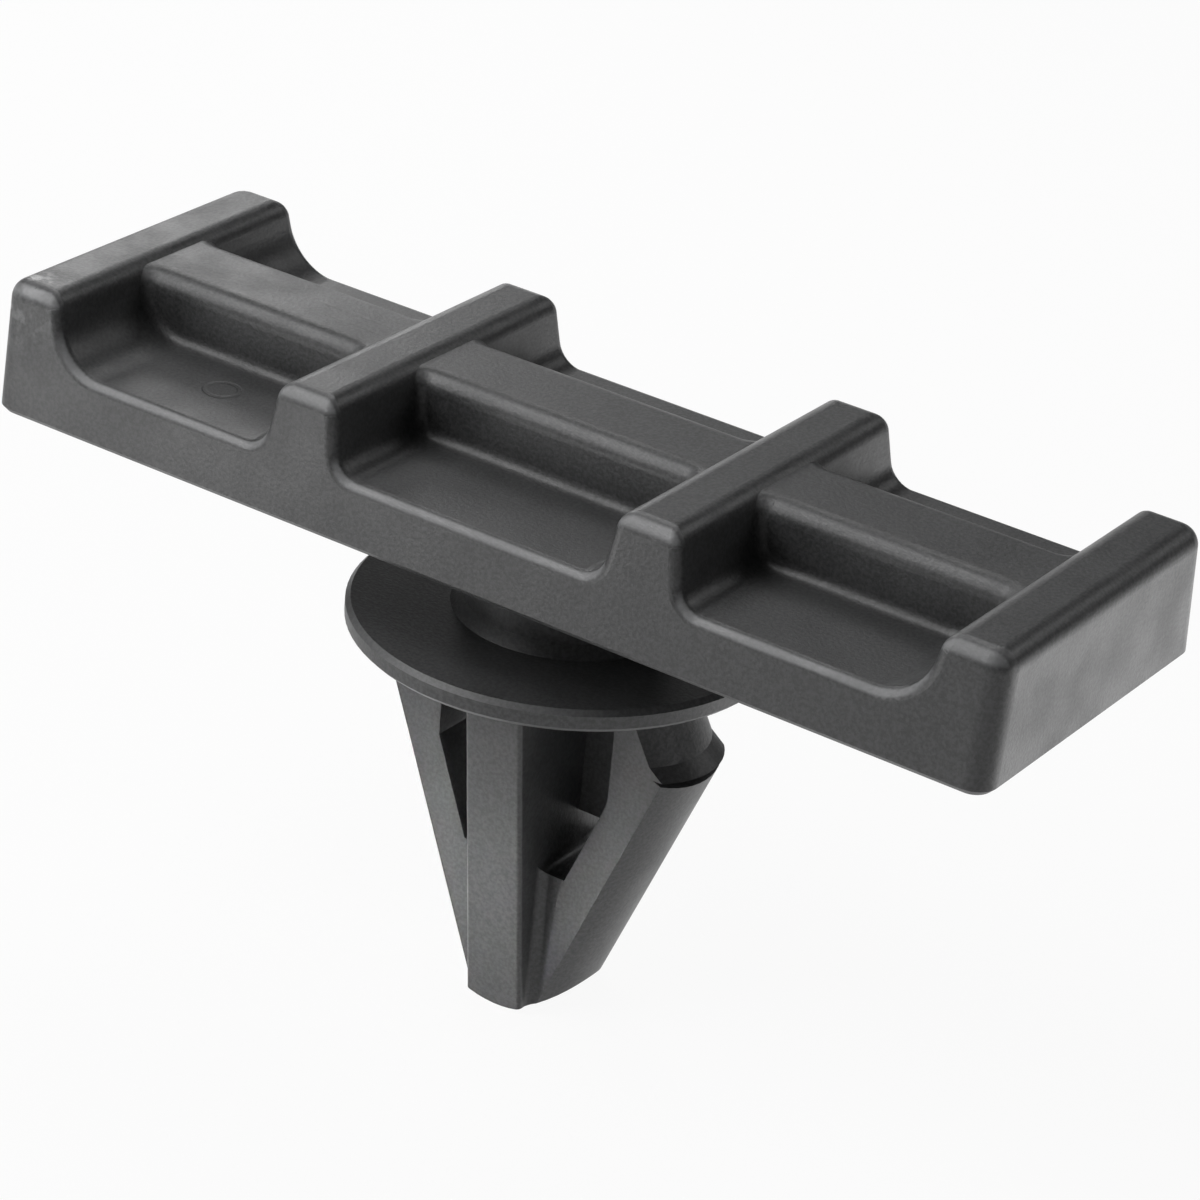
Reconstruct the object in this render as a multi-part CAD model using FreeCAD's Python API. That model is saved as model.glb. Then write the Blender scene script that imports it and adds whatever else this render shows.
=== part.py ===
import FreeCAD, Part
import math
import os

# Clip for a rocker panel molding. Lengths are in millimetres.
# X runs along the ribbed head, Y across it, Z up along the stem's axis.
# The origin is on the axis at the underside of the round flange, where the clip
# seats on the body panel. The head is above it and the stem points down.

# Ribbed head
head_length = 50.0
head_width = 17.2
head_height = 5.95
side_draft = 5.5
head_corner = 1.0
head_bottom_edge = 0.25
cross_rib_thickness = 2.95
cross_rib_offset = 8.55
spine_thickness = 4.7
spine_drop = 0.25
top_round = 0.85
lip_round = 0.5

# Pockets between the ribs
pocket_depth = 3.1
end_wall_draft = 12.0
inner_wall_draft = 9.0
end_scoop_radius = 2.4
inner_scoop_radius = 1.1
pocket_root_round = 0.5

# Neck and flange
neck_diameter = 9.0
neck_height = 3.8
neck_root = 0.5
flange_diameter = 18.9
flange_thickness = 1.0
flange_edge = 0.22

# Central blade of the stem
stem_length = 17.5
blade_thickness = 2.9
blade_root_depth = 10.6
blade_tip_depth = 6.15
blade_edge = 0.2
tip_radius = 4.3

# Two spring wings that spread from the tip
wing_width = 4.75
wing_thickness = 1.8
wing_half_angle = 21.7
wing_bulge_radius = 3.8
barb_half_span = 7.05
barb_drop = 4.0
barb_ramp_run = 0.7
barb_ramp_rise = 0.52
wing_end_run = 1.15
wing_end_rise = 2.05
slot_inner_reach = 4.45
slot_bottom_drop = 10.5
web_round = 0.45

# Gusset plate between blade and flange, inside each slot
gusset_front = 0.2
gusset_thickness = 1.0
gusset_drop = 8.5
gusset_clearance = 0.65

# Construction allowances: how far a cutter runs past the surface that it cuts, how far a
# piece that is fused reaches into the other, and how near an edge lies to count as found
over = 1.0
overlap = 0.5
near = 1e-3

vec = FreeCAD.Vector

head_bottom = flange_thickness + neck_height
head_top = head_bottom + head_height
half_length = head_length / 2.0
half_width = head_width / 2.0
half_spine = spine_thickness / 2.0
half_rib = cross_rib_thickness / 2.0
half_wing = wing_width / 2.0
floor_level = head_top - pocket_depth
rib_centres = [-half_length + half_rib, -cross_rib_offset, cross_rib_offset, half_length - half_rib]


def side_y(z):
    """Half the head's width at height z; its long sides lean in towards the top."""
    return half_width - (z - head_bottom) * math.tan(math.radians(side_draft))


def edges_where(shape, test):
    return [edge for edge in shape.Edges if test(edge)]


def box_between(low, high):
    return Part.makeBox(high[0] - low[0], high[1] - low[1], high[2] - low[2], vec(*low))


def prism_yz(points, x_from, x_to):
    face = Part.Face(Part.makePolygon([vec(x_from, y, z) for y, z in points + points[:1]]))
    return face.extrude(vec(x_to - x_from, 0, 0))


def prism_xz(points, y_from, y_to):
    face = Part.Face(Part.makePolygon([vec(x, y_from, z) for x, z in points + points[:1]]))
    return face.extrude(vec(0, y_to - y_from, 0))


def scoop_corner(wall_x, side, draft, radius, top_z):
    """Points and arc of one end of a pocket: drafted wall, arc, floor.

    wall_x is where the wall meets the level of the ribs' top, side is the way to the
    pocket's middle."""
    lean = math.radians(draft)
    foot_x = wall_x + side * pocket_depth * math.tan(lean)
    reach = radius * math.tan((math.pi / 2.0 - lean) / 2.0)
    floor_x = foot_x + side * reach
    on_wall = (foot_x - side * reach * math.sin(lean), floor_level + reach * math.cos(lean))
    turn = (math.pi / 2.0 - lean) / 2.0
    mid = (floor_x - side * radius * math.sin(turn), floor_level + radius * (1.0 - math.cos(turn)))
    top = (wall_x - side * (top_z - head_top) * math.tan(lean), top_z)
    return top, on_wall, mid, (floor_x, floor_level)


def bay_profile(left, right, y, top_z):
    """Face across one bay between two cross ribs, in the plane at y."""
    left_x, left_draft, left_radius = left
    right_x, right_draft, right_radius = right
    a_top, a_wall, a_mid, a_floor = scoop_corner(left_x, 1, left_draft, left_radius, top_z)
    b_top, b_wall, b_mid, b_floor = scoop_corner(right_x, -1, right_draft, right_radius, top_z)

    def at(point):
        return vec(point[0], y, point[1])

    edges = [
        Part.LineSegment(at(a_top), at(a_wall)).toShape(),
        Part.Arc(at(a_wall), at(a_mid), at(a_floor)).toShape(),
        Part.LineSegment(at(a_floor), at(b_floor)).toShape(),
        Part.Arc(at(b_floor), at(b_mid), at(b_wall)).toShape(),
        Part.LineSegment(at(b_wall), at(b_top)).toShape(),
        Part.LineSegment(at(b_top), at(a_top)).toShape(),
    ]
    return Part.Face(Part.Wire(edges))


def bays():
    """Left and right end of each of the three bays: wall, draft, scoop radius."""
    end_left = (rib_centres[0] + half_rib, end_wall_draft, end_scoop_radius)
    end_right = (rib_centres[3] - half_rib, end_wall_draft, end_scoop_radius)
    inner = (inner_wall_draft, inner_scoop_radius)
    return [
        (end_left, (rib_centres[1] - half_rib,) + inner),
        ((rib_centres[1] + half_rib,) + inner, (rib_centres[2] - half_rib,) + inner),
        ((rib_centres[2] + half_rib,) + inner, end_right),
    ]


crown_margin = 0.05
shoulder_level = head_top - spine_drop - top_round - crown_margin


def channel_half(left, right, y_inner):
    """Cutter for one side of a bay, from outside the head to y_inner."""
    start = -half_width - over
    profile = bay_profile(left, right, start, head_top + 2.0 * over)
    return profile.extrude(vec(0, y_inner - start, 0))


def mirrored(shape):
    return shape.mirror(vec(0, 0, 0), vec(0, 1, 0))


def pocket_cutter(left, right):
    """Cutter for one pocket: its inner end, at the spine, meets the walls and floor in a round."""
    cutter = channel_half(left, right, -half_spine)

    def at_root(edge):
        box = edge.BoundBox
        flat = box.YLength < near and abs(box.YMin + half_spine) < near
        return flat and box.ZMin < head_top
    return cutter.makeFillet(pocket_root_round, edges_where(cutter, at_root))


def build_bar():
    """Solid bar of the head: long sides with draft, rounded corners and a broken lower edge."""
    top_y = side_y(head_top)
    section = [(-half_width, head_bottom), (half_width, head_bottom), (top_y, head_top), (-top_y, head_top)]
    bar = prism_yz(section, -half_length, half_length)
    upright = edges_where(bar, lambda e: e.BoundBox.ZLength > head_height / 2.0)
    bar = bar.makeFillet(head_corner, upright)
    lower = edges_where(bar, lambda e: e.BoundBox.ZMax < head_bottom + near)
    return bar.makeChamfer(head_bottom_edge, lower)


def build_ladder():
    """Bar with its six pockets; above the shoulder level only the cross ribs stand."""
    bar = build_bar()
    above = box_between((-half_length, -half_width, shoulder_level), (half_length, half_width, head_top + over))
    for left, right in bays():
        pocket = pocket_cutter(left, right)
        saddle = channel_half(left, right, 0.0).common(above)
        bar = bar.cut(pocket).cut(mirrored(pocket))
        bar = bar.cut(saddle).cut(mirrored(saddle))
    return bar


def is_level(edge):
    return edge.BoundBox.ZLength < near


def is_top_edge(edge):
    return is_level(edge) and abs(edge.Vertexes[0].Z - head_top) < near


def is_mouth_edge(edge):
    """Edge of a pocket's opening in one of the two long side faces."""
    box = edge.BoundBox
    middle = edge.valueAt((edge.FirstParameter + edge.LastParameter) / 2.0)
    points = [middle] + [v.Point for v in edge.Vertexes]
    on_side = all(abs(abs(p.y) - side_y(p.z)) < near for p in points)
    past_corners = half_length - head_corner - near
    inside = box.XMin > -past_corners and box.XMax < past_corners
    rib_seam = is_level(edge) and box.ZMin > floor_level + near
    return on_side and inside and box.ZMin > floor_level - near and not rib_seam


def round_head_edges(bar):
    """Rounds the ribs' tops, then the mouths of the pockets."""
    bar = bar.makeFillet(top_round, edges_where(bar, is_top_edge))
    return bar.makeFillet(lip_round, edges_where(bar, is_mouth_edge))


def build_spine_crown(left, right):
    """Rounded upper part of the spine across one bay, with the rounds into the cross ribs."""
    spine_top = head_top - spine_drop
    reach = half_spine + pocket_root_round + overlap
    sunk = half_rib - overlap / 2.0
    low = (left[0] - sunk, -reach, floor_level)
    high = (right[0] + sunk, reach, spine_top)
    pocket = pocket_cutter(left, right)
    block = box_between(low, high).cut(pocket).cut(mirrored(pocket))

    def along_pocket(edge):
        box = edge.BoundBox
        on_top = is_level(edge) and abs(box.ZMin - spine_top) < near
        at_end = box.XMax < low[0] + near or box.XMin > high[0] - near
        outer = box.YLength < near and abs(abs(box.YMin) - reach) < near
        return on_top and not at_end and not outer
    block = block.makeFillet(top_round, edges_where(block, along_pocket))
    return block.common(box_between((low[0], low[1], shoulder_level), high))


def build_head():
    head = round_head_edges(build_ladder())
    for left, right in bays():
        head = head.fuse(build_spine_crown(left, right))
    return head.removeSplitter()


def build_neck_and_flange():
    """Round flange with a broken rim, and the neck that flares into flange and head."""
    rim = flange_diameter / 2.0
    neck = neck_diameter / 2.0
    low = flange_thickness
    high = head_bottom
    outline = [
        (0.0, 0.0),
        (rim - flange_edge, 0.0),
        (rim, flange_edge),
        (rim, low - flange_edge),
        (rim - flange_edge, low),
        (neck + neck_root, low),
        (neck, low + neck_root),
        (neck, high - neck_root),
        (neck + neck_root, high),
        (neck + neck_root, high + overlap),
        (0.0, high + overlap),
    ]
    face = Part.Face(Part.makePolygon([vec(x, 0, z) for x, z in outline + outline[:1]]))
    return face.revolve(vec(0, 0, 0), vec(0, 0, 1), 360)


blade_top = flange_thickness / 2.0
blade_bottom = -stem_length - over


def half_depth(z):
    """Half the blade's depth at height z; it narrows evenly from the flange to the tip."""
    return (blade_root_depth - (blade_root_depth - blade_tip_depth) * -z / stem_length) / 2.0


def blade_side_view(half_reach):
    """Slab with the blade's side outline, from -X to +X."""
    root = half_depth(blade_top)
    tip = half_depth(blade_bottom)
    outline = [(-root, blade_top), (root, blade_top), (tip, blade_bottom), (-tip, blade_bottom)]
    return prism_yz(outline, -half_reach, half_reach)


def build_blade():
    """Central blade, with its four long corners rounded."""
    blade = blade_side_view(blade_thickness / 2.0)
    long_corners = edges_where(blade, lambda e: e.BoundBox.ZLength > stem_length)
    return blade.makeFillet(blade_edge, long_corners)


wing_slope = math.tan(math.radians(wing_half_angle))
bulge_reach = wing_bulge_radius / math.cos(math.radians(wing_half_angle))
bulge_share = math.sqrt(1.0 - (half_wing / wing_bulge_radius) ** 2)
bulge_axis = barb_half_span - bulge_reach * bulge_share
wing_reach = bulge_axis + bulge_reach
inner_knee = -barb_drop - (barb_half_span - wing_thickness - slot_inner_reach) / wing_slope


def outer_x(z):
    """Reach of the wing's front corner at height z, below the barb."""
    return barb_half_span - (-barb_drop - z) * wing_slope


def outside_of_wing(low, high, bulge):
    """What lies outside a wing between two points of its front corner, given its bulge."""
    inset = barb_half_span - bulge_axis
    far = wing_reach + 2.0 * over
    wide = (half_wing + wing_bulge_radius) / 2.0
    outline = [(low[0] - inset, low[1]), (far, low[1]), (far, high[1]), (high[0] - inset, high[1])]
    return prism_xz(outline, -wide, wide).cut(bulge)


def slanted_bulge(low, high):
    """The wing's round outer side: a cylinder along the wing's slope."""
    run = vec(high[0] - low[0], 0, high[1] - low[1])
    spare = run * (over / run.Length)
    start = vec(low[0] - barb_half_span + bulge_axis, 0, low[1])
    return Part.makeCylinder(wing_bulge_radius, run.Length + 2.0 * over, start - spare, run)


def sheared_bulge(low, high):
    """The same plan section carried from low to high, for the short slopes above the barb."""
    centre = vec(low[0] - barb_half_span + bulge_axis, 0, low[1])
    ellipse = Part.Ellipse(centre, bulge_reach, wing_bulge_radius)
    section = Part.Face(Part.Wire([ellipse.toShape()]))
    return section.extrude(vec(high[0] - low[0], 0, high[1] - low[1]))


def build_wing():
    """One wing on the +X side, with the solid web that joins it to the blade."""
    barb = (barb_half_span, -barb_drop)
    ramp = (barb[0] - barb_ramp_run, barb[1] + barb_ramp_rise)
    end = (ramp[0] - wing_end_run, ramp[1] + wing_end_rise)
    lowest = (outer_x(blade_bottom), blade_bottom)
    slot_bottom = -slot_bottom_drop
    inner_low = outer_x(slot_bottom) - wing_thickness
    far = wing_reach + over
    profile = [(slot_inner_reach, end[1]), (slot_inner_reach, inner_knee), (inner_low, slot_bottom),
               (0.0, slot_bottom), (0.0, blade_bottom), (far, blade_bottom), (far, end[1])]
    wing = prism_xz(profile, -half_wing, half_wing).fuse(build_web_blend(slot_bottom))
    wing = wing.cut(outside_of_wing(lowest, barb, slanted_bulge(lowest, barb)))
    wing = wing.cut(outside_of_wing(barb, ramp, sheared_bulge(barb, ramp)))
    return wing.cut(outside_of_wing(ramp, end, sheared_bulge(ramp, end)))


def build_web_blend(slot_bottom):
    """Round between the blade's side and the web: on the wing's front and back, and at the
    bottom of the slot."""
    far_x = blade_thickness / 2.0 + web_round
    far_y = half_wing + web_round
    root_z = slot_bottom + web_round
    blend = box_between((0.0, -far_y, blade_bottom), (far_x, far_y, root_z))
    root_start = vec(far_x, -far_y - over, root_z)
    blend = blend.cut(Part.makeCylinder(web_round, 2.0 * (far_y + over), root_start, vec(0, 1, 0)))
    for side in (-1.0, 1.0):
        groove_start = vec(far_x, side * far_y, blade_bottom - over)
        blend = blend.cut(Part.makeCylinder(web_round, root_z - blade_bottom + 2.0 * over, groove_start))
    return blend.common(blade_side_view(far_x + over))


def build_gusset():
    """Thin plate in one slot, from the blade to the flange, with clearance to the wing."""
    lowest = -gusset_drop
    free_top = slot_inner_reach - gusset_clearance
    free_low = outer_x(lowest) - wing_thickness - gusset_clearance
    sunk = flange_thickness / 2.0
    outline = [(0.0, sunk), (free_top, sunk), (free_top, inner_knee), (free_low, lowest), (0.0, lowest)]
    return prism_xz(outline, gusset_front, gusset_front + gusset_thickness)


def below_the_tip():
    """Everything under the tip, which is rounded across, from one wing to the other."""
    reach = blade_root_depth
    form = Part.makeCylinder(tip_radius, 2.0 * reach, vec(0, -reach, -stem_length + tip_radius), vec(0, 1, 0))
    far = tip_radius * math.sin(math.radians(90.0 - wing_half_angle))
    high = -stem_length + tip_radius * (1.0 - math.cos(math.radians(90.0 - wing_half_angle)))
    under = box_between((-far, -reach, -stem_length - 2.0 * over), (far, reach, high))
    return under.cut(form)


def build_stem():
    wing = build_wing()
    gusset = build_gusset()
    stem = build_blade().fuse(wing)
    stem = stem.fuse(wing.mirror(vec(0, 0, 0), vec(1, 0, 0)))
    stem = stem.fuse(gusset).fuse(gusset.mirror(vec(0, 0, 0), vec(1, 0, 0)))
    return stem.cut(below_the_tip())


def build_clip():
    clip = build_head().fuse(build_neck_and_flange()).fuse(build_stem())
    return clip.removeSplitter()


def main():
    clip = build_clip()
    solid = clip.Solids[0]
    if len(clip.Solids) != 1 or not solid.isValid():
        raise ValueError("the clip did not come out as one valid solid")
    os.makedirs("parts", exist_ok=True)
    solid.exportStep("parts/clip.step")


main()
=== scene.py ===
import math

import bpy
from bpy.props import (
    FloatProperty,
    FloatVectorProperty,
    PointerProperty,
)
from mathutils import Matrix, Vector


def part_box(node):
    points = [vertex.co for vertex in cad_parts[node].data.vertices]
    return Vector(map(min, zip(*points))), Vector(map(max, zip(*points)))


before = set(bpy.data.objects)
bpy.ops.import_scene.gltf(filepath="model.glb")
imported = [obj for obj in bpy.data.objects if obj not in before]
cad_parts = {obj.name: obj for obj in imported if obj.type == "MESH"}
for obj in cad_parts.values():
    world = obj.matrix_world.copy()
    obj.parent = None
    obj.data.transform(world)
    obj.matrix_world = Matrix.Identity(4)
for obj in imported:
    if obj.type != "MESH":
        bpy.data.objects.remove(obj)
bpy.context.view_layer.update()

bl_info = {
    "name": "Rocker Panel Molding Clip",
    "version": (1, 0, 0),
    "blender": (4, 5, 0),
    "location": "View3D > Sidebar > Clip",
    "description": "Finishes the moulded clip and lays out its stage",
    "category": "Object",
}

MOULDING = "clip"
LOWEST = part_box(MOULDING)[0].z  # height of the stem's tip, where the floor lies

# Places and lengths are in metres in the part's own space. A pair named START is
# where a mask rises from none to full, a pair named SPAN is where it is full, and a
# SOFT length is how far it fades out beyond its span.

# pin mark: a thin ring on the floor of the front left pocket
PIN_MARK = (-0.0153, -0.0049, 0.00765)
PIN_RADIUS = 0.00085
PIN_RING = (0.82, 0.94)  # inner and outer radius, in parts of PIN_RADIUS
PIN_SOFT = 0.14  # in parts of PIN_RADIUS

# two witness lines along the top of the spine's left part
LINES_LENGTH_SPAN = (-0.0205, -0.0102)  # in X
LINES_LENGTH_SOFT = 0.0006
LINES_WIDTH_SPANS = ((0.00028, 0.00036), (-0.00062, -0.00055))  # in Y, one for each
LINES_WIDTH_SOFT = 0.00012
LINES_DEPTH = 0.35  # in parts of the mark depth
SPINE_TOP_START = (0.0099, 0.0102)  # in Z

# upright crease on the free end of the right wing
CREASE_START = (0.0050, 0.0055)  # in X
CREASE_HEIGHT_SPAN = (-0.0033, -0.0010)  # in Z
CREASE_HEIGHT_SOFT = 0.0003
CREASE_WIDTH_SPAN = (-0.00115, -0.00095)  # in Y
CREASE_WIDTH_SOFT = 0.00014

# painted highlights on the rounded edges that face outwards and up, where the light
# catches them; "outward" is the place's Y times its normal's Y
UPWARD_START = (0.22, 0.55)  # in the normal's Z
RIMS_START = (0.0022, 0.0045)  # in outward
CROWN_START = (0.0005, 0.0012)  # in outward
CROWN_HEIGHT_START = (0.0092, 0.0098)  # in Z
CROWN_HIGHLIGHT = 0.35  # in parts of the rims' painted highlight
HEAD_START = (0.002, 0.004)  # in Z
FLANGE_HIGHLIGHT = 0.3  # painted highlight on flange and stem, in parts of the head's

# painted light: faces turned right are lighter, with painted shade in the middle of the
# right end face
RIGHT_START = (0.8, 0.98)  # in the normal's X
END_FACE_SHADE_SPOT = (0.0252, 0.0010, 0.0070)
END_FACE_SHADE_REACH = (0.004, 0.0092)  # distances from the spot between which the tone rises
RIGHT_LIGHT_TONES = (-0.12, 0.4)  # added at the spot and away from it

# scuffed corner at the front left end of the head: the scuffs are glossier, and their
# lighter tone is a painted glint
SCUFFED_CORNER = (-0.0243, -0.0080, 0.0104)
SCUFF_REACH = (0.0006, 0.0034)  # distances from the corner between which scuffs fade
SCUFF_SIZE = 0.0008
SCUFF_START = (0.46, 0.58)  # in the noise of the patches
SCUFF_GLINT_TONE = 0.9
SCUFF_ROUGHNESS = -0.14

# grain, clouds and flecks: range of the noise, and what it adds over that range
NOISE_RANGE = (0.3, 0.7)
GRAIN_TONES = (0.72, 1.28)
CLOUD_TONES = (-0.09, 0.09)
CLOUD_ROUGHNESS = (-0.05, 0.05)
FLECK_SIZE = 2.6  # in grain sizes
FLECK_RANGE = (0.62, 0.8)
FLECK_TONES = (0.0, 0.25)

# where lamps aim
MIDDLE = (0.0, 0.0, 0.0)
HEAD = (0.0, 0.0, 0.005)
HEAD_LEFT = (-0.012, 0.0, 0.005)
STEM_TOP = (0.0, 0.0, -0.010)
STEM_MIDDLE = (0.0, 0.0, -0.0115)
STEM_LOW = (0.0, -0.003, -0.0155)

# place, aim, side in metres, power in watts and beam in degrees of each lamp; the
# last two lie just above the floor and shine straight up
WIDE = 180.0
LAMPS = {
    "High Lamp": ((-0.137, -0.237, 0.752), MIDDLE, 0.34, 0.38, WIDE),
    "High Lip Lamp": ((-0.147, -0.080, 0.261), HEAD, 0.13, 0.26, WIDE),
    "Low Lip Lamp": ((-0.143, -0.196, 0.181), HEAD, 0.13, 0.20, WIDE),
    "Left Lamp": ((-0.560, -0.324, 0.470), MIDDLE, 0.34, 0.80, WIDE),
    "Back Left Lamp": ((-0.290, 0.398, 0.630), MIDDLE, 0.34, 1.05, WIDE),
    "Back Right Lamp": ((0.324, 0.560, 0.470), MIDDLE, 0.34, 0.72, WIDE),
    "Low Back Lamp": ((-0.497, 0.623, 0.070), MIDDLE, 0.34, 0.43, WIDE),
    "Top Gleam": ((-0.1081, 0.0961, 0.0684), HEAD_LEFT, 0.04, 0.0225, WIDE),
    "Stem Front Fill": ((-0.062, -0.098, -0.006), STEM_TOP, 0.032, 0.0155, WIDE),
    "Stem Right Fill": ((0.110, 0.030, -0.005), STEM_TOP, 0.032, 0.0105, WIDE),
    "Stem Left Beam": ((-0.168, -0.109, -0.015), STEM_MIDDLE, 0.012, 0.0012, 5.5),
    "Stem Front Beam": ((-0.115, -0.164, -0.0155), STEM_LOW, 0.012, 0.0006, 5.0),
    "End Fill": (
        (0.060, 0.045, -0.0165), (0.060, 0.045, 1.0), 0.07, 0.0187, WIDE,
    ),
    "Front Left Fill": (
        (-0.080, -0.080, -0.0165), (-0.080, -0.080, 1.0), 0.07, 0.0284, WIDE,
    ),
}

SENSOR_WIDTH = 36.0  # in millimetres
# rows of the camera's rotation matrix
CAMERA_TURN = (
    (0.81819, -0.32147, 0.47668),
    (0.56849, 0.32833, -0.75434),
    (0.08599, 0.88818, 0.45139),
)


class PlasticFinish(bpy.types.PropertyGroup):
    """The moulded plastic of the clip."""

    colour: FloatVectorProperty(
        name="Colour",
        description="Colour of the plastic",
        default=(0.0495, 0.050, 0.0508),
        size=3,
        min=0.0,
        max=1.0,
        subtype="COLOR",
    )
    roughness: FloatProperty(
        name="Roughness",
        description="How matte the moulded skin is",
        default=0.42,
        min=0.0,
        max=1.0,
        subtype="FACTOR",
    )
    grain_size: FloatProperty(
        name="Grain size",
        description="Size of the fine grain left by the mould",
        default=0.00017,
        min=0.00002,
        unit="LENGTH",
    )
    grain_depth: FloatProperty(
        name="Grain depth",
        description="Depth of the fine grain",
        default=0.000015,
        min=0.0,
        unit="LENGTH",
    )
    cloud_size: FloatProperty(
        name="Cloud size",
        description="Size of the soft clouds in tone and gloss",
        default=0.0026,
        min=0.0002,
        unit="LENGTH",
    )
    # strength of the painted highlight on the rounded edges that face outwards and up
    edge_highlight: FloatProperty(
        name="Edge highlight (painted)",
        description="How much lighter the painted highlights on the rounded edges are",
        default=3.2,
        min=0.0,
        max=6.0,
    )
    mark_depth: FloatProperty(
        name="Mark depth",
        description="Depth of the mould's small marks",
        default=0.00002,
        min=0.0,
        unit="LENGTH",
    )


class StageLook(bpy.types.PropertyGroup):
    """Floor, even light and camera."""

    floor_colour: FloatVectorProperty(
        name="Floor colour",
        description="Colour of the pale floor",
        default=(0.86, 0.86, 0.86),
        size=3,
        min=0.0,
        max=1.0,
        subtype="COLOR",
    )
    floor_span: FloatProperty(
        name="Floor span",
        description="Side of the square floor",
        default=3.0,
        min=0.2,
        unit="LENGTH",
    )
    floor_glow: FloatProperty(
        name="Floor glow",
        description="Share of plain white in the floor as the camera sees it",
        default=0.93,
        min=0.0,
        max=1.0,
        subtype="FACTOR",
    )
    sky_level: FloatProperty(
        name="Sky level",
        description="Strength of the even light from all round",
        default=0.02,
        min=0.0,
    )
    camera_place: FloatVectorProperty(
        name="Camera place",
        description="Where the camera stands",
        default=(0.088882, -0.138109, 0.084499),
        size=3,
        subtype="TRANSLATION",
        unit="LENGTH",
    )
    camera_lens: FloatProperty(
        name="Lens",
        description="Focal length in millimetres on a 36 mm wide sensor",
        default=129.903,
        min=10.0,
    )


def new_material(name):
    """An empty material with only its output node."""
    material = bpy.data.materials.new(name)
    material.use_nodes = True
    tree = material.node_tree
    tree.nodes.clear()
    output = tree.nodes.new("ShaderNodeOutputMaterial")
    return material, tree, output


def add_node(tree, kind, label="", **inputs):
    """Adds a node and sets its plain input values by name."""
    node = tree.nodes.new(kind)
    node.label = label
    for key, value in inputs.items():
        node.inputs[key.replace("_", " ")].default_value = value
    return node


def maths(tree, operation, first, second, third=None):
    """Adds a math node; each input is a plain number or another node's output."""
    node = tree.nodes.new("ShaderNodeMath")
    node.operation = operation
    for slot, value in enumerate((first, second, third)):
        if isinstance(value, (int, float)):
            node.inputs[slot].default_value = value
        elif value is not None:
            tree.links.new(value, node.inputs[slot])
    return node.outputs["Value"]


def times(tree, first, second):
    """Product of two values."""
    return maths(tree, "MULTIPLY", first, second)


def split(tree, vector):
    """The X, Y and Z of a vector."""
    node = tree.nodes.new("ShaderNodeSeparateXYZ")
    tree.links.new(vector, node.inputs["Vector"])
    return node.outputs["X"], node.outputs["Y"], node.outputs["Z"]


def ramp(tree, value, low, high, to_low=0.0, to_high=1.0):
    """Maps a value smoothly from low..high to to_low..to_high."""
    node = add_node(
        tree,
        "ShaderNodeMapRange",
        From_Min=low,
        From_Max=high,
        To_Min=to_low,
        To_Max=to_high,
    )
    node.interpolation_type = "SMOOTHSTEP"
    tree.links.new(value, node.inputs["Value"])
    return node.outputs["Result"]


def between(tree, value, low, high, soft):
    """Mask that is one from low to high and fades out over the soft width."""
    rise = ramp(tree, value, low - soft, low)
    fall = ramp(tree, value, high, high + soft, 1.0, 0.0)
    return times(tree, rise, fall)


def noise(tree, place, label, size, detail=2.0, roughness=0.55):
    """Noise in the object's own space, with features of the given size in metres."""
    node = add_node(
        tree,
        "ShaderNodeTexNoise",
        label,
        Scale=1.0 / size,
        Detail=detail,
        Roughness=roughness,
    )
    tree.links.new(place, node.inputs["Vector"])
    return node.outputs["Fac"]


def far_from(tree, place, point):
    """Distance from a point of the part, in metres."""
    node = tree.nodes.new("ShaderNodeVectorMath")
    node.operation = "DISTANCE"
    tree.links.new(place, node.inputs[0])
    node.inputs[1].default_value = point
    return node.outputs["Value"]


def bump(tree, label, height, depth):
    """Adds a bump node that makes a height of one as high as the depth, in metres."""
    node = add_node(tree, "ShaderNodeBump", label, Strength=1.0, Distance=depth)
    tree.links.new(height, node.inputs["Height"])
    return node


def mould_marks(tree, place):
    """Height of the mould's marks: pin mark, witness lines and crease, all sunk in."""
    x, y, z = split(tree, place)

    away = far_from(tree, place, PIN_MARK)
    inner, outer = (PIN_RADIUS * part for part in PIN_RING)
    pin = between(tree, away, inner, outer, PIN_RADIUS * PIN_SOFT)

    length = between(tree, x, *LINES_LENGTH_SPAN, LINES_LENGTH_SOFT)
    on_spine = times(tree, length, ramp(tree, z, *SPINE_TOP_START))
    one, two = (between(tree, y, *span, LINES_WIDTH_SOFT) for span in LINES_WIDTH_SPANS)
    lines = times(tree, on_spine, maths(tree, "MAXIMUM", one, two))
    lines = times(tree, lines, LINES_DEPTH)

    height = between(tree, z, *CREASE_HEIGHT_SPAN, CREASE_HEIGHT_SOFT)
    on_wing = times(tree, ramp(tree, x, *CREASE_START), height)
    width = between(tree, y, *CREASE_WIDTH_SPAN, CREASE_WIDTH_SOFT)
    crease = times(tree, on_wing, width)

    marks = maths(tree, "MAXIMUM", pin, maths(tree, "MAXIMUM", lines, crease))
    return times(tree, marks, -1.0)


def painted_highlight_mask(tree, place, normal):
    """Mask of the painted highlights on the rounded edges that face outwards and up:
    lips, rib ends, spine.
    """
    _, y, z = split(tree, place)
    _, normal_y, normal_z = split(tree, normal)
    outward = times(tree, y, normal_y)
    upward = ramp(tree, normal_z, *UPWARD_START)
    rims = ramp(tree, outward, *RIMS_START)
    high_up = ramp(tree, z, *CROWN_HEIGHT_START)
    crown = times(tree, ramp(tree, outward, *CROWN_START), high_up)
    crown = times(tree, crown, CROWN_HIGHLIGHT)
    on_head = ramp(tree, z, *HEAD_START, FLANGE_HIGHLIGHT)
    edges = times(tree, on_head, maths(tree, "MAXIMUM", rims, crown))
    return times(tree, upward, edges)


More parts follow.
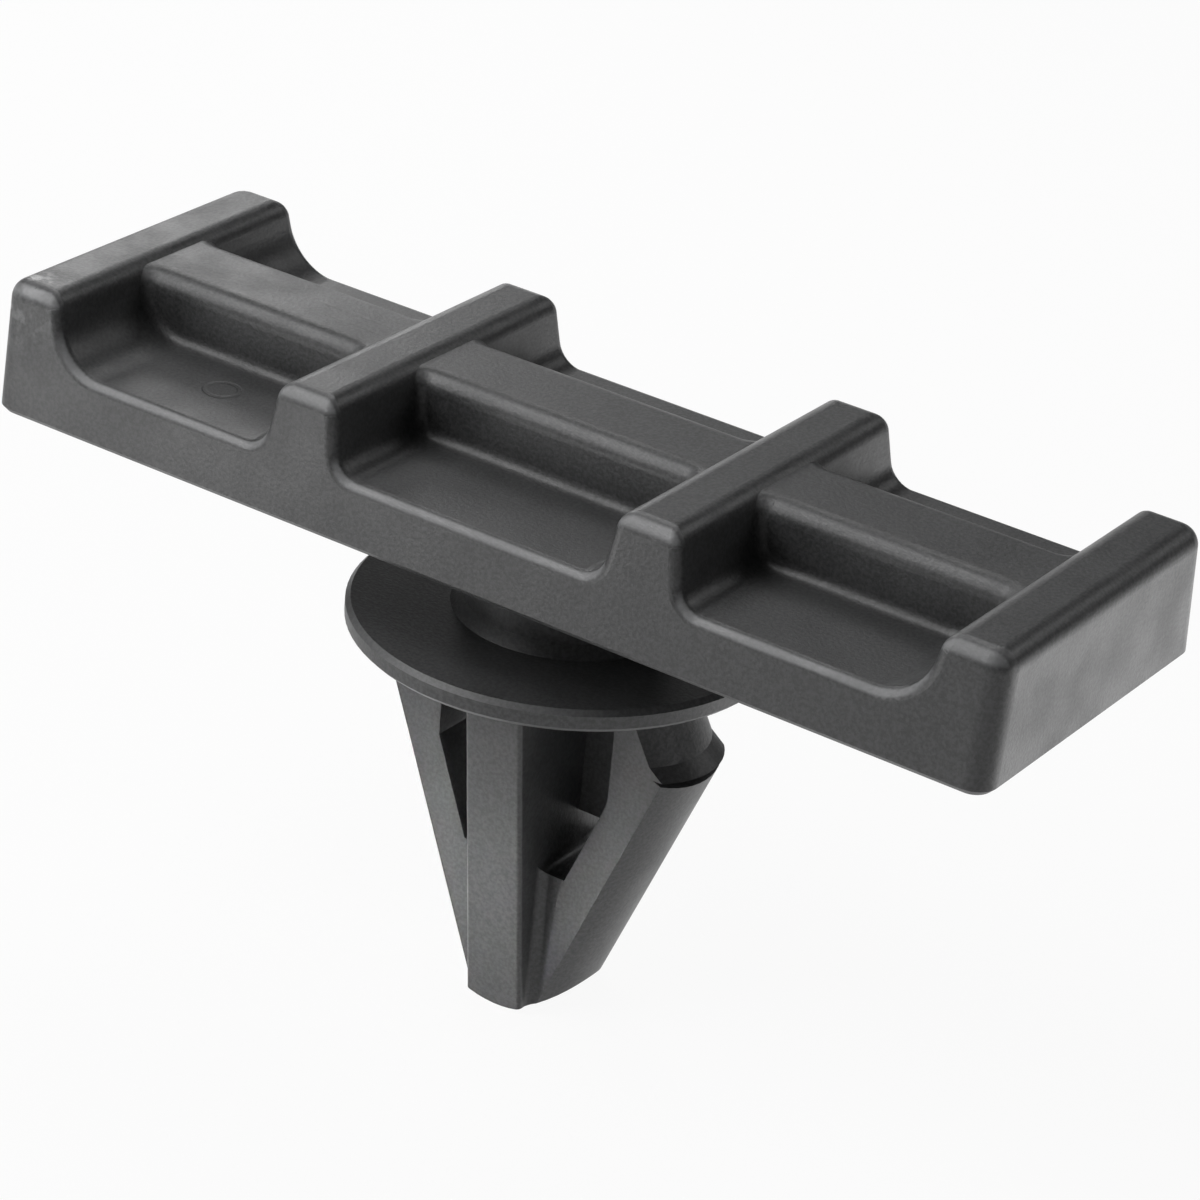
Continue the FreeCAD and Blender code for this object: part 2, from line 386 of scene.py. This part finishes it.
def scuff_and_glint_mask(tree, place):
    """Mask of the scuffs and painted glints at the front left end of the head."""
    away = far_from(tree, place, SCUFFED_CORNER)
    near_corner = ramp(tree, away, *SCUFF_REACH, 1.0, 0.0)
    patches = noise(tree, place, "Scuff and glint patches", SCUFF_SIZE)
    return times(tree, near_corner, ramp(tree, patches, *SCUFF_START))


def plastic_material(look):
    """Dark moulded plastic with fine grain, soft clouds, small marks and scuffs, with
    painted highlights on the edges, painted light on faces turned right and painted
    glints at one corner.
    """
    material, tree, output = new_material("Moulded Plastic")
    link = tree.links.new
    here = add_node(tree, "ShaderNodeTexCoord", "Place")
    place = here.outputs["Object"]
    normal = here.outputs["Normal"]
    grain = noise(tree, place, "Fine grain", look.grain_size, roughness=0.6)
    clouds = noise(tree, place, "Soft clouds", look.cloud_size, detail=3.0)
    flecks = noise(tree, place, "Flecks", look.grain_size * FLECK_SIZE)
    scuffs_and_glints = scuff_and_glint_mask(tree, place)

    # tone: how many times as light as the plastic's plain colour
    grain_tone = ramp(tree, grain, *NOISE_RANGE, *GRAIN_TONES)
    cloud_tone = ramp(tree, clouds, *NOISE_RANGE, *CLOUD_TONES)
    tone = maths(tree, "ADD", grain_tone, cloud_tone)
    fleck_tone = ramp(tree, flecks, *FLECK_RANGE, *FLECK_TONES)
    tone = maths(tree, "ADD", tone, fleck_tone)
    # painted glints: the corner's scuff patches are made lighter
    tone = maths(tree, "MULTIPLY_ADD", scuffs_and_glints, SCUFF_GLINT_TONE, tone)
    # painted highlights: rounded edges that face outwards and up are made lighter
    highlit_edges = painted_highlight_mask(tree, place, normal)
    tone = maths(tree, "MULTIPLY_ADD", highlit_edges, look.edge_highlight, tone)
    # painted light: faces turned right are made lighter, with painted shade around a
    # spot on the right end face
    normal_x, _, _ = split(tree, normal)
    turned_right = ramp(tree, normal_x, *RIGHT_START)
    away = far_from(tree, place, END_FACE_SHADE_SPOT)
    painted_right_light = ramp(tree, away, *END_FACE_SHADE_REACH, *RIGHT_LIGHT_TONES)
    tone = maths(tree, "MULTIPLY_ADD", turned_right, painted_right_light, tone)
    tint = tree.nodes.new("ShaderNodeVectorMath")
    tint.operation = "SCALE"
    tint.inputs[0].default_value = look.colour
    link(tone, tint.inputs["Scale"])

    cloud_roughness = ramp(tree, clouds, *NOISE_RANGE, *CLOUD_ROUGHNESS)
    roughness = maths(tree, "ADD", cloud_roughness, look.roughness)
    roughness = maths(tree, "MULTIPLY_ADD", scuffs_and_glints, SCUFF_ROUGHNESS, roughness)

    marks = bump(tree, "Mould marks", mould_marks(tree, place), look.mark_depth)
    skin = bump(tree, "Grain relief", grain, look.grain_depth)
    link(marks.outputs["Normal"], skin.inputs["Normal"])

    plastic = tree.nodes.new("ShaderNodeBsdfPrincipled")
    link(tint.outputs["Vector"], plastic.inputs["Base Color"])
    link(roughness, plastic.inputs["Roughness"])
    link(skin.outputs["Normal"], plastic.inputs["Normal"])
    link(plastic.outputs["BSDF"], output.inputs["Surface"])
    return material


class FinishMoulding(bpy.types.Operator):
    """Gives the moulded clip its dark plastic skin"""

    bl_idname = "clip.finish_moulding"
    bl_label = "Finish Moulding"
    bl_options = {"REGISTER", "UNDO"}

    def execute(self, context):
        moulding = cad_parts[MOULDING]
        material = plastic_material(context.scene.clip_plastic)
        moulding.data.materials.clear()
        moulding.data.materials.append(material)
        return {"FINISHED"}


def floor_material(look):
    """Matte floor that is nearly plain white to the camera and white to reflections."""
    material, tree, output = new_material("Pale Floor")
    link = tree.links.new
    matte = add_node(
        tree,
        "ShaderNodeBsdfPrincipled",
        Base_Color=(*look.floor_colour, 1.0),
        Roughness=0.9,
        Specular_IOR_Level=0.0,
    )
    glow = add_node(tree, "ShaderNodeEmission", "White to the camera", Strength=1.0)
    rays = tree.nodes.new("ShaderNodeLightPath").outputs
    share = maths(
        tree,
        "MULTIPLY_ADD",
        rays["Is Camera Ray"],
        look.floor_glow,
        rays["Is Glossy Ray"],
    )
    mix = tree.nodes.new("ShaderNodeMixShader")
    link(share, mix.inputs["Fac"])
    link(matte.outputs["BSDF"], mix.inputs[1])
    link(glow.outputs["Emission"], mix.inputs[2])
    link(mix.outputs["Shader"], output.inputs["Surface"])
    return material


def even_light(look):
    """A white world of the look's strength."""
    world = bpy.data.worlds.new("Even Light")
    world.use_nodes = True
    background = world.node_tree.nodes["Background"]
    background.inputs["Color"].default_value = (1.0, 1.0, 1.0, 1.0)
    background.inputs["Strength"].default_value = look.sky_level
    return world


def area_lamp(name, place, aim, side, power, beam):
    """Adds a soft square lamp, turned to its aim and unseen by the camera."""
    lamp = bpy.data.lights.new(name, "AREA")
    lamp.shape = "SQUARE"
    lamp.size = side
    lamp.energy = power
    lamp.spread = math.radians(beam)
    holder = bpy.data.objects.new(name, lamp)
    bpy.context.scene.collection.objects.link(holder)
    holder.location = place
    towards = Vector(aim) - Vector(place)
    holder.rotation_euler = towards.to_track_quat("-Z", "Y").to_euler()
    holder.visible_camera = False


def stage_camera(look):
    """Adds a camera at the look's place, turned to the clip."""
    view = bpy.data.cameras.new("Camera")
    view.sensor_width = SENSOR_WIDTH
    view.lens = look.camera_lens
    view.clip_start = 0.01
    view.clip_end = 10.0
    camera = bpy.data.objects.new("Camera", view)
    bpy.context.scene.collection.objects.link(camera)
    turn = Matrix(CAMERA_TURN).to_4x4()
    camera.matrix_world = Matrix.Translation(look.camera_place) @ turn
    return camera


class LayStage(bpy.types.Operator):
    """Lays out the pale floor, the soft lamps and the camera"""

    bl_idname = "clip.lay_stage"
    bl_label = "Lay Stage"
    bl_options = {"REGISTER", "UNDO"}

    def execute(self, context):
        scene = context.scene
        look = scene.clip_stage
        bpy.ops.object.select_all(action="DESELECT")
        bpy.ops.mesh.primitive_plane_add(
            size=look.floor_span, location=(0.0, 0.0, LOWEST)
        )
        floor = context.active_object
        floor.name = "Floor"
        bpy.ops.object.transform_apply(location=True, rotation=True, scale=True)
        floor.data.materials.append(floor_material(look))

        scene.world = even_light(look)
        for name, values in LAMPS.items():
            area_lamp(name, *values)
        scene.camera = stage_camera(look)
        scene.view_settings.view_transform = "Standard"
        return {"FINISHED"}


class ClipPanel(bpy.types.Panel):
    """Lists the clip's operators and their values."""

    bl_idname = "VIEW3D_PT_clip"
    bl_label = "Molding Clip"
    bl_space_type = "VIEW_3D"
    bl_region_type = "UI"
    bl_category = "Clip"

    def draw(self, context):
        for kind, group in (
            (FinishMoulding, context.scene.clip_plastic),
            (LayStage, context.scene.clip_stage),
        ):
            box = self.layout.box()
            box.operator(kind.bl_idname)
            for key in group.bl_rna.properties.keys():
                if key not in {"rna_type", "name"}:
                    box.prop(group, key)


CLASSES = (PlasticFinish, StageLook, FinishMoulding, LayStage, ClipPanel)


def register():
    for kind in CLASSES:
        bpy.utils.register_class(kind)
    bpy.types.Scene.clip_plastic = PointerProperty(type=PlasticFinish)
    bpy.types.Scene.clip_stage = PointerProperty(type=StageLook)


def unregister():
    del bpy.types.Scene.clip_stage
    del bpy.types.Scene.clip_plastic
    for kind in reversed(CLASSES):
        bpy.utils.unregister_class(kind)


def main():
    register()
    bpy.ops.clip.finish_moulding()
    bpy.ops.clip.lay_stage()


if __name__ == "__main__":
    main()
